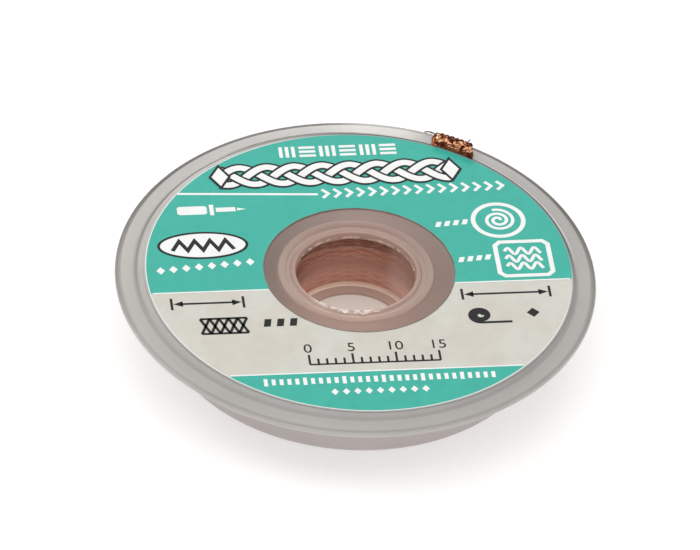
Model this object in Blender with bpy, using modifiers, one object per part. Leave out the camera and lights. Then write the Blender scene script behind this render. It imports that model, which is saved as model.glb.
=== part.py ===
"""A bobbin of desoldering braid: copper braid wound in a flat two-part plastic spool.

The spool stands on its base with its axis along +Z. The origin is the middle of the base,
+Y points to the back, where the cut end of the braid lies on the rim.
"""

import math

import bmesh
import bpy

MM = 0.001

# Steps around each turned piece
MOULDING_STEPS = 64
COIL_STEPS = 32
CORNER_STEPS = 3
WELD_DISTANCE = 1e-6

# Clearances
SEAT_GAP = 0.3 * MM
LABEL_GAP = 0.03 * MM

# Lower moulding: a dish with the hub tube standing in its middle
DISH_OVERHANG = 1.8 * MM
DISH_DRAFT = 0.9 * MM
DISH_WALL = 0.9 * MM
DISH_FLOOR = 0.8 * MM
DISH_CORNER = 1.0 * MM
DISH_INNER_CHAMFER = 0.5 * MM
HUB_BORE_RADIUS = 7.0 * MM
HUB_WALL = 0.8 * MM
HUB_FILLET = 0.3 * MM
LEDGE_HOLE_RADIUS = 5.7 * MM
LEDGE_THICKNESS = 0.6 * MM

# Upper moulding: a thin disc with a raised middle, a collar and a skirt
RIM_RADIUS = 27.9 * MM
DISC_THICKNESS = 0.95 * MM
RIM_BOTTOM_HEIGHT = 7.2 * MM
RIM_ROUNDING = 0.4 * MM
RIM_UNDER_ROUNDING = 0.2 * MM
RIM_BAND = 2.1 * MM
PLATEAU_RISE = 0.25 * MM
STEP_RUN = 0.8 * MM
COLLAR_WIDTH = 2.17 * MM
COLLAR_RISE = 0.12 * MM
COLLAR_ROUNDING = 0.3 * MM
SKIRT_WALL = 0.8 * MM
SKIRT_DEPTH = 1.0 * MM

# Ring label, stuck a little off centre
LABEL_MARGIN = 0.2 * MM
LABEL_HOLE_MARGIN = 1.93 * MM
LABEL_THICKNESS = 0.1 * MM
LABEL_SHIFT_X = 0.37 * MM
LABEL_SHIFT_Y = 0.3 * MM

# Braid as wound on the hub
COIL_TURNS = 18
TURN_PITCH = 0.6 * MM
COIL_HEIGHT = 4.3 * MM
TURN_GROOVE = 0.2 * MM

# Free end of the braid, on its way from the coil to the top of the rim
TAIL_WIDTH = 2.3 * MM
TAIL_THICKNESS = 0.75 * MM
TAIL_EDGE_MARGIN = 0.2 * MM
TAIL_BURIED = 0.95 * MM
TAIL_STEPS = 36
OVER_STEPS = 8
BEND_STEPS = 6
HALVINGS = 40
LEAVES_COIL_ANGLE = math.radians(128)
MEETS_RIM_ANGLE = math.radians(80)
NOTCH_ANGLE = math.radians(71.8)
TAIL_END_ANGLE = math.radians(60.5)
BEND_RADIUS = 0.5 * MM

# Openings that the braid passes through
NOTCH_SIDE_GAP = 0.3 * MM
WINDOW_WIDTH = 7.0 * MM
WINDOW_SILL_GAP = 0.6 * MM
WINDOW_DEPTH = 3.6 * MM
CUTTER_OVERSHOOT = 1.0 * MM

# Heights and radii that follow from the sizes above
PLATEAU_RADIUS = RIM_RADIUS - RIM_BAND - STEP_RUN
DISH_MOUTH_RADIUS = PLATEAU_RADIUS - DISH_OVERHANG
DISH_BASE_RADIUS = DISH_MOUTH_RADIUS - DISH_DRAFT
COLLAR_RADIUS = HUB_BORE_RADIUS + COLLAR_WIDTH
LABEL_RADIUS = PLATEAU_RADIUS - LABEL_MARGIN
LABEL_HOLE_RADIUS = COLLAR_RADIUS + LABEL_HOLE_MARGIN
TAIL_RADIUS = RIM_RADIUS - TAIL_EDGE_MARGIN - TAIL_WIDTH / 2
RIM_TOP_HEIGHT = RIM_BOTTOM_HEIGHT + DISC_THICKNESS
PLATEAU_HEIGHT = RIM_TOP_HEIGHT + PLATEAU_RISE
PLATEAU_UNDERSIDE = PLATEAU_HEIGHT - DISC_THICKNESS
WALL_TOP_HEIGHT = PLATEAU_UNDERSIDE - SEAT_GAP
HUB_OUTER_RADIUS = HUB_BORE_RADIUS + HUB_WALL
COIL_INNER_RADIUS = HUB_OUTER_RADIUS + SEAT_GAP
COIL_OUTER_RADIUS = COIL_INNER_RADIUS + COIL_TURNS * TURN_PITCH
COIL_BOTTOM_HEIGHT = DISH_FLOOR + SEAT_GAP
COIL_TOP_HEIGHT = COIL_BOTTOM_HEIGHT + COIL_HEIGHT
COIL_MIDDLE_HEIGHT = COIL_BOTTOM_HEIGHT + COIL_HEIGHT / 2
TAIL_UNDER_HEIGHT = RIM_BOTTOM_HEIGHT - SEAT_GAP - TAIL_THICKNESS / 2
TAIL_OVER_HEIGHT = RIM_TOP_HEIGHT + SEAT_GAP + TAIL_THICKNESS / 2


def clear_scene():
    """Removes whatever the file holds, so that the script starts empty."""
    for thing in list(bpy.data.objects):
        bpy.data.objects.remove(thing)


def make_collection(name):
    collection = bpy.data.collections.new(name)
    bpy.context.scene.collection.children.link(collection)
    return collection


def make_material(name, colour, roughness, metallic=0.0):
    material = bpy.data.materials.new(name)
    material.use_nodes = True
    shader = material.node_tree.nodes["Principled BSDF"]
    shader.inputs["Base Color"].default_value = (*colour, 1.0)
    shader.inputs["Roughness"].default_value = roughness
    shader.inputs["Metallic"].default_value = metallic
    return material


def add_object(name, mesh, collection, material=None):
    thing = bpy.data.objects.new(name, mesh)
    collection.objects.link(thing)
    if material:
        mesh.materials.append(material)
    return thing


def corner(centre_radius, centre_height, rounding, start, end):
    """Points of a rounded corner of a profile, from one angle to another, in degrees."""
    points = []
    for step in range(CORNER_STEPS + 1):
        angle = math.radians(start + (end - start) * step / CORNER_STEPS)
        points.append(
            (
                centre_radius + rounding * math.cos(angle),
                centre_height + rounding * math.sin(angle),
            )
        )
    return points


def turned(name, profile, steps, collection, material):
    """A ring turned from a closed profile of (radius, height) points that runs down its outer side."""
    mesh = bpy.data.meshes.new(name)
    shape = bmesh.new()
    verts = [shape.verts.new((radius, 0, height)) for radius, height in profile]
    for index, vert in enumerate(verts):
        shape.edges.new((vert, verts[(index + 1) % len(verts)]))
    shape.to_mesh(mesh)
    shape.free()
    ring = add_object(name, mesh, collection, material)
    screw = ring.modifiers.new("Turn", "SCREW")
    screw.axis = "Z"
    screw.angle = 2 * math.pi
    screw.steps = steps
    screw.render_steps = steps
    screw.use_merge_vertices = True
    screw.merge_threshold = WELD_DISTANCE
    screw.use_smooth_shade = True
    return ring


def hide_cutter(cutter):
    cutter.hide_render = True
    cutter.display_type = "WIRE"


def box_cutter(name, size, centre_radius, angle, centre_height, collection):
    """A box across the rim at an angle: size is along the radius, along the rim, and upwards."""
    mesh = bpy.data.meshes.new(name)
    shape = bmesh.new()
    bmesh.ops.create_cube(shape, size=1.0)
    bmesh.ops.scale(shape, vec=size, verts=shape.verts)
    shape.to_mesh(mesh)
    shape.free()
    cutter = add_object(name, mesh, collection)
    cutter.location = (
        centre_radius * math.cos(angle),
        centre_radius * math.sin(angle),
        centre_height,
    )
    cutter.rotation_euler.z = angle
    hide_cutter(cutter)
    return cutter


def boolean(thing, other, operation):
    modifier = thing.modifiers.new(other.name, "BOOLEAN")
    modifier.operation = operation
    modifier.solver = "EXACT"
    modifier.object = other


def eased(share):
    """Goes from 0 to 1 with a level start and finish."""
    share = min(max(share, 0.0), 1.0)
    return share * share * (3 - 2 * share)


def tail_radius(angle):
    """Distance of the tail's middle from the axis: off the coil, then along the rim."""
    leave = COIL_OUTER_RADIUS - TAIL_BURIED
    share = (LEAVES_COIL_ANGLE - angle) / (LEAVES_COIL_ANGLE - MEETS_RIM_ANGLE)
    return leave + (TAIL_RADIUS - leave) * eased(share)


def wall_crossing_angle():
    """Where the tail's middle passes the dish's wall."""
    wall_radius = DISH_MOUTH_RADIUS - DISH_WALL / 2
    low, high = MEETS_RIM_ANGLE, LEAVES_COIL_ANGLE
    for _ in range(HALVINGS):
        middle = (low + high) / 2
        if tail_radius(middle) > wall_radius:
            low = middle
        else:
            high = middle
    return low


def station(angle, radius, height, lean):
    """The tail's middle, and the unit vector across its width as it leans from upright to flat."""
    middle = (radius * math.cos(angle), radius * math.sin(angle), height)
    across = (
        math.sin(lean) * math.cos(angle),
        math.sin(lean) * math.sin(angle),
        math.cos(lean),
    )
    return middle, across


def stations_under_rim():
    """From the coil to the notch: the tail turns flat once it is clear of the wall."""
    clear_of_wall = wall_crossing_angle() - 2 * DISH_WALL / DISH_MOUTH_RADIUS
    flat_from = NOTCH_ANGLE + 2 * BEND_RADIUS / TAIL_RADIUS
    last = NOTCH_ANGLE + BEND_RADIUS / TAIL_RADIUS
    stations = []
    for step in range(TAIL_STEPS):
        angle = LEAVES_COIL_ANGLE + (last - LEAVES_COIL_ANGLE) * step / TAIL_STEPS
        laid = eased((clear_of_wall - angle) / (clear_of_wall - flat_from))
        height = COIL_MIDDLE_HEIGHT + (TAIL_UNDER_HEIGHT - COIL_MIDDLE_HEIGHT) * laid
        stations.append(station(angle, tail_radius(angle), height, math.pi / 2 * laid))
    return stations


def stations_in_notch():
    """Up through the notch: a bend upwards, a straight rise and a bend back to level."""
    bends = []
    for step in range(BEND_STEPS + 1):
        turn = math.pi / 2 * step / BEND_STEPS
        run = BEND_RADIUS * (math.sin(turn) - 1)
        bends.append((run, TAIL_UNDER_HEIGHT + BEND_RADIUS * (1 - math.cos(turn))))
    for step in range(BEND_STEPS + 1):
        turn = math.pi / 2 * step / BEND_STEPS
        run = BEND_RADIUS * (1 - math.cos(turn))
        bends.append((run, TAIL_OVER_HEIGHT + BEND_RADIUS * (math.sin(turn) - 1)))
    return [
        station(NOTCH_ANGLE - run / TAIL_RADIUS, TAIL_RADIUS, height, math.pi / 2)
        for run, height in bends
    ]


def stations_over_rim():
    """Along the top of the rim, to the cut end."""
    first = NOTCH_ANGLE - BEND_RADIUS / TAIL_RADIUS
    stations = []
    for step in range(1, OVER_STEPS + 1):
        angle = first + (TAIL_END_ANGLE - first) * step / OVER_STEPS
        stations.append(station(angle, TAIL_RADIUS, TAIL_OVER_HEIGHT, math.pi / 2))
    return stations


def make_tail(collection):
    """The free end: a ribbon that leaves the coil on edge, turns flat and climbs through the notch."""
    mesh = bpy.data.meshes.new("tail")
    shape = bmesh.new()
    pairs = []
    for middle, across in stations_under_rim() + stations_in_notch() + stations_over_rim():
        pairs.append(
            [
                shape.verts.new(
                    [m + side * TAIL_WIDTH / 2 * a for m, a in zip(middle, across)]
                )
                for side in (-1, 1)
            ]
        )
    for (low_a, high_a), (low_b, high_b) in zip(pairs, pairs[1:]):
        shape.faces.new((low_a, low_b, high_b, high_a))
    shape.to_mesh(mesh)
    shape.free()
    tail = add_object("tail", mesh, collection)
    thicken = tail.modifiers.new("Thickness", "SOLIDIFY")
    thicken.thickness = TAIL_THICKNESS
    thicken.offset = 0
    thicken.use_even_offset = True
    hide_cutter(tail)
    return tail


def coil_profile():
    """Section of the wound braid: each turn shows as a ridge on both ends."""
    outer = COIL_OUTER_RADIUS
    top = COIL_TOP_HEIGHT
    bottom = COIL_BOTTOM_HEIGHT
    points = [(outer, top - TURN_GROOVE), (outer, bottom + TURN_GROOVE)]
    for turn in range(COIL_TURNS):
        edge = outer - turn * TURN_PITCH
        points.append((edge - TURN_PITCH / 2, bottom))
        points.append((edge - TURN_PITCH, bottom + TURN_GROOVE))
    for turn in reversed(range(COIL_TURNS)):
        edge = outer - turn * TURN_PITCH
        points.append((edge - TURN_PITCH, top - TURN_GROOVE))
        points.append((edge - TURN_PITCH / 2, top))
    return points


def make_braid(collection, cutters):
    """All the braid in one piece: the coil and its free end."""
    copper = make_material("copper", (0.62, 0.27, 0.13), 0.38, 1.0)
    braid = turned("braid", coil_profile(), COIL_STEPS, collection, copper)
    boolean(braid, make_tail(cutters), "UNION")
    return braid


def dish_profile():
    """Section of the lower moulding, from the wall's top edge down and round to the hub."""
    slope = (DISH_MOUTH_RADIUS - DISH_BASE_RADIUS) / (WALL_TOP_HEIGHT - DISH_CORNER)
    lean = math.degrees(math.atan(slope))
    points = [(DISH_MOUTH_RADIUS, WALL_TOP_HEIGHT)]
    points += corner(
        DISH_BASE_RADIUS - DISH_CORNER, DISH_CORNER, DISH_CORNER, -lean, -90
    )
    points.append((LEDGE_HOLE_RADIUS, 0))
    points.append((LEDGE_HOLE_RADIUS, LEDGE_THICKNESS))
    points.append((HUB_BORE_RADIUS - HUB_FILLET, LEDGE_THICKNESS))
    points.append((HUB_BORE_RADIUS, LEDGE_THICKNESS + HUB_FILLET))
    points.append((HUB_BORE_RADIUS, WALL_TOP_HEIGHT))
    points.append((HUB_OUTER_RADIUS, WALL_TOP_HEIGHT))
    points.append((HUB_OUTER_RADIUS, DISH_FLOOR))
    inner_foot = DISH_BASE_RADIUS - DISH_WALL
    points.append((inner_foot - DISH_INNER_CHAMFER, DISH_FLOOR))
    points.append((inner_foot, DISH_FLOOR + DISH_INNER_CHAMFER))
    points.append((DISH_MOUTH_RADIUS - DISH_WALL, WALL_TOP_HEIGHT))
    return points


def make_dish(collection, cutters):
    """The lower moulding, with a window in its wall where the braid comes out."""
    plastic = make_material("dish_plastic", (0.62, 0.58, 0.55), 0.35)
    dish = turned(
        "lower_dish", dish_profile(), MOULDING_STEPS, collection, plastic
    )
    sill = COIL_MIDDLE_HEIGHT - TAIL_WIDTH / 2 - WINDOW_SILL_GAP
    window_top = WALL_TOP_HEIGHT + CUTTER_OVERSHOOT
    window = box_cutter(
        "window",
        (WINDOW_DEPTH, WINDOW_WIDTH, window_top - sill),
        DISH_MOUTH_RADIUS - DISH_WALL / 2,
        wall_crossing_angle(),
        (window_top + sill) / 2,
        cutters,
    )
    boolean(dish, window, "DIFFERENCE")
    return dish


def flange_profile():
    """Section of the upper moulding, from the rim's top edge down and round to the collar."""
    points = corner(
        RIM_RADIUS - RIM_ROUNDING, RIM_TOP_HEIGHT - RIM_ROUNDING, RIM_ROUNDING, 90, 0
    )
    points += corner(
        RIM_RADIUS - RIM_UNDER_ROUNDING,
        RIM_BOTTOM_HEIGHT + RIM_UNDER_ROUNDING,
        RIM_UNDER_ROUNDING,
        0,
        -90,
    )
    skirt_outer = DISH_MOUTH_RADIUS - DISH_WALL - SEAT_GAP
    skirt_inner = skirt_outer - SKIRT_WALL
    skirt_bottom = PLATEAU_UNDERSIDE - SKIRT_DEPTH
    collar_top = PLATEAU_HEIGHT + COLLAR_RISE
    points += [
        (PLATEAU_RADIUS + STEP_RUN, RIM_BOTTOM_HEIGHT),
        (PLATEAU_RADIUS, PLATEAU_UNDERSIDE),
        (skirt_outer, PLATEAU_UNDERSIDE),
        (skirt_outer, skirt_bottom),
        (skirt_inner, skirt_bottom),
        (skirt_inner, PLATEAU_UNDERSIDE),
        (HUB_BORE_RADIUS, PLATEAU_UNDERSIDE),
    ]
    points += corner(
        HUB_BORE_RADIUS + COLLAR_ROUNDING,
        collar_top - COLLAR_ROUNDING,
        COLLAR_ROUNDING,
        180,
        90,
    )
    points += [
        (COLLAR_RADIUS - COLLAR_RISE, collar_top),
        (COLLAR_RADIUS, PLATEAU_HEIGHT),
        (PLATEAU_RADIUS, PLATEAU_HEIGHT),
        (PLATEAU_RADIUS + STEP_RUN, RIM_TOP_HEIGHT),
    ]
    return points


def make_flange(collection, cutters):
    """The upper moulding, with the notch that the braid's end is threaded through."""
    plastic = make_material("flange_plastic", (0.66, 0.65, 0.63), 0.35)
    flange = turned(
        "top_flange", flange_profile(), MOULDING_STEPS, collection, plastic
    )
    inner_end = TAIL_RADIUS - TAIL_WIDTH / 2 - NOTCH_SIDE_GAP
    outer_end = RIM_RADIUS + CUTTER_OVERSHOOT
    notch_width = TAIL_THICKNESS + 2 * NOTCH_SIDE_GAP
    notch = box_cutter(
        "notch",
        (outer_end - inner_end, notch_width, DISC_THICKNESS + 2 * CUTTER_OVERSHOOT),
        (inner_end + outer_end) / 2,
        NOTCH_ANGLE,
        RIM_BOTTOM_HEIGHT + DISC_THICKNESS / 2,
        cutters,
    )
    boolean(flange, notch, "DIFFERENCE")
    return flange


def make_label(collection):
    """The ring label on the raised middle of the upper moulding."""
    paper = make_material("label_print", (0.08, 0.5, 0.4), 0.45)
    bottom = PLATEAU_HEIGHT + LABEL_GAP
    top = bottom + LABEL_THICKNESS
    profile = [
        (LABEL_RADIUS, top),
        (LABEL_RADIUS, bottom),
        (LABEL_HOLE_RADIUS, bottom),
        (LABEL_HOLE_RADIUS, top),
    ]
    label = turned("label", profile, MOULDING_STEPS, collection, paper)
    label.location = (LABEL_SHIFT_X, LABEL_SHIFT_Y, 0)
    return label


def main():
    clear_scene()
    spool = make_collection("desoldering_braid")
    cutters = make_collection("cutters")
    make_dish(spool, cutters)
    make_braid(spool, cutters)
    make_flange(spool, cutters)
    make_label(spool)


main()
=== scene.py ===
# %% [markdown]
# A bobbin of desoldering braid. Copper braid is wound inside a flat spool made of two milky
# plastic mouldings: a dish below, with the hub tube in its middle, and a thin flange above that
# carries a ring label. The cut end of the braid comes out through a notch and lies on the rim.
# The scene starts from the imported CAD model, which fixes every size. Each of its four nodes is
# then replaced by a finer piece in the same place.

# %% Load the CAD frame
import math
import random

import bmesh
import bpy
from mathutils import Matrix, Vector


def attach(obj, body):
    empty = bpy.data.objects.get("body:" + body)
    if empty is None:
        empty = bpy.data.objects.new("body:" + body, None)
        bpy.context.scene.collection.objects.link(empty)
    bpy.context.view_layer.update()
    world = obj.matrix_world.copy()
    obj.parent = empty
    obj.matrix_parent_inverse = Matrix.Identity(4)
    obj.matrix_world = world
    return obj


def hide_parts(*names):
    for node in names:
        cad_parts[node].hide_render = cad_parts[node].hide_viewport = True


MM = 0.001

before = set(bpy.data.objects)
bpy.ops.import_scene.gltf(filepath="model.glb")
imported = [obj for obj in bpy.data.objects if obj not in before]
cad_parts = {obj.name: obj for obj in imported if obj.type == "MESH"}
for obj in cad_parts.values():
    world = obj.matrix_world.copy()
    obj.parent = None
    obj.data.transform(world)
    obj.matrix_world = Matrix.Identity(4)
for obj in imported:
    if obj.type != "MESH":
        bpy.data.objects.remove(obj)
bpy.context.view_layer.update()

# %% [markdown]
# The camera looks down from 40 degrees through a long lens, from far away, so the rim is almost
# a true ellipse. It is rolled a little, which drops the right side of the bobbin. A camera looks
# along its own minus Z, so its turn is built from three vectors: right, up and backwards.

# %% Camera
VIEW_ELEVATION = math.radians(40.1)
VIEW_ROLL = math.radians(3.7)
VIEW_DISTANCE = 800 * MM
LENS_LENGTH = 355.35
SENSOR_WIDTH = 36
NEAR_CLIP = 0.05
FAR_CLIP = 20
LABEL_PLANE_HEIGHT = 8.5 * MM
SLIDE_RIGHT = -0.69 * MM
SLIDE_UP = -0.49 * MM

forward = Vector((0, math.cos(VIEW_ELEVATION), -math.sin(VIEW_ELEVATION)))
level_right = Vector((1, 0, 0))
level_up = level_right.cross(forward)
view_right = level_right * math.cos(VIEW_ROLL) + level_up * math.sin(VIEW_ROLL)
view_up = level_up * math.cos(VIEW_ROLL) - level_right * math.sin(VIEW_ROLL)
view_turn = Matrix((view_right, view_up, -forward)).transposed()
eye = Vector((0, 0, LABEL_PLANE_HEIGHT)) - forward * VIEW_DISTANCE
eye += view_right * SLIDE_RIGHT + view_up * SLIDE_UP

bpy.ops.object.camera_add(location=eye, rotation=view_turn.to_euler())
camera = bpy.context.object
camera.name = "camera"
camera.data.lens = LENS_LENGTH
camera.data.sensor_width = SENSOR_WIDTH
camera.data.clip_start = NEAR_CLIP
camera.data.clip_end = FAR_CLIP
bpy.context.scene.camera = camera
print("camera at", [round(value, 3) for value in eye])

# %% [markdown]
# Materials are made of nodes. These helpers keep the cells short: the first starts a material,
# the second adds a node and fills its sockets, either with a value or with a link from another
# node. Patterns read Object coordinates, in metres, so they stay on the piece. Nearly all of
# this object is round, so most patterns are told by the distance from the axis and the turn.

# %% Node helpers
def start_material(name):
    """A new material, its node tree and its shader."""
    material = bpy.data.materials.new(name)
    material.use_nodes = True
    return material, material.node_tree, material.node_tree.nodes["Principled BSDF"]


def add_node(tree, kind, sockets=None, **settings):
    """A node of a kind, with its settings made and its sockets filled or linked."""
    node = tree.nodes.new("ShaderNode" + kind)
    for setting, value in settings.items():
        setattr(node, setting, value)
    for socket, value in (sockets or {}).items():
        if isinstance(value, bpy.types.NodeSocket):
            tree.links.new(value, node.inputs[socket])
        else:
            node.inputs[socket].default_value = value
    return node


def blend_colours(tree, share, first, second, how="MIX"):
    """The colour that lies between two others."""
    node = add_node(tree, "Mix", data_type="RGBA", blend_type=how)
    for socket, value in ((0, share), (6, first), (7, second)):
        if isinstance(value, bpy.types.NodeSocket):
            tree.links.new(value, node.inputs[socket])
        else:
            node.inputs[socket].default_value = value
    return node.outputs[2]


def cloud(tree, place, size, detail=2.0):
    """Soft noise whose patches are about so many metres across."""
    return add_node(tree, "TexNoise", {"Vector": place, "Scale": 1 / size, "Detail": detail}).outputs[0]


def ranged(tree, value, low, high, start=0.0, end=1.0, kind="LINEAR"):
    """Stretches the span from start to end over the one from low to high."""
    sockets = {"Value": value, "From Min": start, "From Max": end, "To Min": low, "To Max": high}
    return add_node(tree, "MapRange", sockets, interpolation_type=kind).outputs[0]


def axis_distance(tree, place):
    """How far a point is from the bobbin's axis, in metres."""
    flat = add_node(tree, "VectorMath", {0: place, 1: (1, 1, 0)}, operation="MULTIPLY")
    return add_node(tree, "VectorMath", {0: flat.outputs[0]}, operation="LENGTH").outputs["Value"]


def read_place(tree):
    """Where a point lies on its piece, in metres."""
    return add_node(tree, "TexCoord").outputs["Object"]


def read_axes(tree, place):
    """The x, y and z of a place."""
    return add_node(tree, "SeparateXYZ", {0: place}).outputs


def turn_of(tree, axes):
    """How far round the bobbin's axis a point lies, in radians from +X."""
    return add_node(tree, "Math", {0: axes[1], 1: axes[0]}, operation="ARCTAN2").outputs[0]


def multiply(tree, first, second):
    """The product of two numbers."""
    return add_node(tree, "Math", {0: first, 1: second}, operation="MULTIPLY").outputs[0]


def grey(tree, value):
    """A number as a grey colour."""
    return add_node(tree, "CombineColor", {0: value, 1: value, 2: value}).outputs[0]


def paint(tree, shader, tint):
    """Links a colour to a shader."""
    tree.links.new(tint, shader.inputs["Base Color"])


def let_light_through(tree, shader, share, tint):
    """Mixes in a clear shader, so that a share of the light goes straight through."""
    clear = add_node(tree, "BsdfTransparent", {"Color": tint})
    mixed = add_node(tree, "MixShader", {0: share, 1: shader.outputs[0], 2: clear.outputs[0]})
    tree.links.new(mixed.outputs[0], tree.nodes["Material Output"].inputs["Surface"])


print("node helpers ready")

# %% [markdown]
# The floor and the light. A pale bobbin on a pale table needs broad, soft light, or its shapes vanish. A
# sky gives most of it, and a large panel overhead adds to it without a glossy patch of its own. Small
# panels on both sides give the form, one in front lifts the near edge, and one behind lies in the mirror
# direction of the rim, where it draws the pale gloss. The floor glows a little, so that it stays pale,
# except under the bore, where its glow is dimmed and tinted warm like the plastic round it, as painted
# shade.

# %% Floor, sky and panels of light
FLOOR_SIZE = 4
FLOOR_DROP = 0.05 * MM
FLOOR_GLOW = 0.5
FLOOR_DARK = (0.52, 0.52, 0.52, 1)
FLOOR_LIGHT = (0.56, 0.56, 0.56, 1)
FLOOR_CLOUD = 0.05
HOLE_GLOW = 0.23
UNDER_BORE_SHADE_TINT = (0.52, 0.42, 0.34, 1)
HOLE_START = 6 * MM
HOLE_END = 14 * MM
SKY_STRENGTH = 0.34
SKY_TINT = (1.0, 0.99, 0.98, 1)

bpy.ops.object.select_all(action="DESELECT")
bpy.ops.mesh.primitive_plane_add(size=FLOOR_SIZE, location=(0, 0, -FLOOR_DROP))
floor = bpy.context.object
floor.name = "floor"
floor_paint, tree, shader = start_material("floor_paint")
place = read_place(tree)
tone = blend_colours(tree, cloud(tree, place, FLOOR_CLOUD), FLOOR_DARK, FLOOR_LIGHT)
# Painted shade under the bore: less glow and a warm tint near the axis.
under_bore_shade = ranged(tree, axis_distance(tree, place), 1, 0, HOLE_START, HOLE_END, kind="SMOOTHSTEP")
tone = blend_colours(tree, under_bore_shade, tone, UNDER_BORE_SHADE_TINT)
paint(tree, shader, tone)
glow = ranged(tree, under_bore_shade, FLOOR_GLOW, HOLE_GLOW)
tree.links.new(glow, shader.inputs["Emission Strength"])
shader.inputs["Roughness"].default_value = 0.9
shader.inputs["Specular IOR Level"].default_value = 0.1
shader.inputs["Emission Color"].default_value = SKY_TINT
floor.data.materials.append(floor_paint)

sky = bpy.data.worlds.new("sky")
sky.use_nodes = True
sky.node_tree.nodes["Background"].inputs["Color"].default_value = SKY_TINT
sky.node_tree.nodes["Background"].inputs["Strength"].default_value = SKY_STRENGTH
bpy.context.scene.world = sky


def add_panel(name, place, size, power):
    """A rectangular light that faces the bobbin."""
    place = Vector(place)
    turn = (-place).to_track_quat("-Z", "Y").to_euler()
    bpy.ops.object.light_add(type="AREA", location=place, rotation=turn)
    panel = bpy.context.object
    panel.name = name
    panel.data.shape = "RECTANGLE"
    panel.data.size, panel.data.size_y = size
    panel.data.energy = power
    return panel


top_panel = add_panel("top_panel", (0, 0, 0.55), (0.6, 0.6), 2.0)
top_panel.visible_glossy = False
add_panel("left_panel", (-0.40, 0.05, 0.40), (0.25, 0.25), 0.7)
add_panel("right_panel", (0.40, -0.05, 0.40), (0.25, 0.25), 0.35)
add_panel("front_panel", (0.05, -0.50, 0.22), (0.4, 0.2), 0.6)
add_panel("back_panel", (-0.02, 0.55, 0.20), (0.30, 0.16), 0.9)
bpy.context.scene.view_settings.view_transform = "Standard"
bpy.context.scene.cycles.transparent_max_bounces = 24
bpy.context.scene.cycles.max_bounces = 12

# %% [markdown]
# Clear plastic shows more than its own colour: its far edges, the copper behind it and the light that it
# bends. A plain shader gives none of that, so it is painted in, and so are light and shade. The tables
# below hold painted light and shade, as (spot, tone) pairs: by the turn round the axis in degrees, by the
# radius and by the height in mm. One is the plain tint, less is darker. The spans say where round the ring
# a painted line or tint lies and how strong it is, and the lines say between which radii.

# %% Tones of the flange
# Painted light and shade by the turn, near the hub and near the rim, and by the radius and the height:
# lighter on the bore wall and low on the walls, darker at the recess, the step's foot and the rim's edge.
NEAR_TURN_TONES = [
    (-180, 0.86), (-135, 1.0), (-90, 1.12), (-45, 0.95), (0, 0.86), (45, 0.84), (90, 0.88),
    (135, 0.86), (180, 0.86),
]
FAR_TURN_TONES = [
    (-180, 1.08), (-135, 0.97), (-90, 1.0), (-60, 0.95), (-35, 0.90), (0, 0.92), (30, 0.86),
    (45, 0.88), (58, 0.95), (70, 1.0), (75, 1.1), (80, 1.5), (92, 1.62), (104, 1.3),
    (135, 1.1), (180, 1.08),
]
RADIUS_TONES = [
    (6.9, 1.9), (7.05, 1.8), (7.3, 1.25), (7.6, 1.12), (8.9, 1.12), (9.3, 0.88), (11.0, 0.88),
    (12.0, 1.0), (24.4, 1.0), (25.0, 1.04), (25.3, 0.98), (25.5, 0.86), (25.78, 0.84),
    (25.95, 1.0), (27.4, 1.06), (27.58, 0.84), (27.72, 0.84), (27.84, 1.1), (27.95, 1.3),
]
HEIGHT_TONES = [(7.2, 1.9), (7.47, 1.9), (7.56, 1.12), (7.9, 1.06), (8.1, 1.0), (8.6, 1.0)]
# Painted glints: pale blotches on the near lip of the bore.
LIP_TURN_SPAN = [(-180, 0), (-135, 0), (-115, 1), (-80, 1), (-62, 0), (180, 0)]
LIP_SPAN = [(6.9, 1), (7.3, 1), (7.6, 0.5), (7.8, 0), (8.2, 0)]
LIP_GLINT = (0.62, 0.54, 0.48, 1)

# Painted shade in the recess, painted light on the collar, painted shade lines at the step, at the back
# and on the rim's edge, and a painted highlight line at the right.
RECESS_TURN_SPAN = [
    (-180, 0.45), (-150, 0.3), (-110, 0), (-60, 0), (0, 0.12), (60, 0.05), (90, 0), (120, 0.2),
    (150, 0.4), (180, 0.45),
]
RECESS_LINE = [(8.9, 0), (9.15, 0), (9.3, 1), (11.2, 1), (11.4, 0), (12.0, 0)]
RECESS_SHADE = (0.10, 0.078, 0.07, 1)
COLLAR_TURN_SPAN = [
    (-180, 0.4), (-150, 0.35), (-110, 0), (-70, 0), (-30, 0.2), (0, 0.36), (30, 0.2), (60, 0),
    (120, 0), (150, 0.25), (180, 0.4),
]
COLLAR_LINE = [(7.4, 0), (7.6, 0), (7.8, 1), (8.9, 1), (9.1, 0), (9.4, 0)]
COLLAR_LIGHT = (0.50, 0.40, 0.34, 1)
STEP_TURN_SPAN = [
    (-180, 0.35), (-150, 0), (-25, 0), (15, 0.15), (65, 0.2), (80, 0.9), (125, 1), (160, 0.7),
    (180, 0.35),
]
STEP_LINE = [(25.1, 0), (25.24, 0), (25.34, 1), (25.56, 1), (25.68, 0), (25.8, 0)]
BACK_TURN_SPAN = [(-180, 0), (76, 0), (88, 0.6), (98, 1), (121, 1), (133, 0), (180, 0)]
BACK_LINE = [(25.3, 0), (25.42, 0), (25.5, 1), (25.86, 1), (25.96, 0), (26.1, 0)]
RIM_TURN_SPAN = [
    (-180, 0.4), (-150, 0), (-25, 0), (0, 0.35), (30, 0.95), (66, 0.95), (76, 0.45), (90, 0.45),
    (100, 1), (150, 0.95), (180, 0.4),
]
RIM_LINE = [(27.0, 0), (27.16, 0), (27.32, 1), (27.9, 1)]
PAINTED_SHADE = (0.05, 0.042, 0.035, 1)
RIGHT_TURN_SPAN = [(-180, 0), (2, 0), (22, 0.8), (62, 0.8), (76, 0), (180, 0)]
RIGHT_LINE = [(25.4, 0), (25.54, 0), (25.62, 1), (25.8, 1), (25.9, 0), (26.0, 0)]
PAINTED_HIGHLIGHT = (0.66, 0.65, 0.62, 1)
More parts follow.
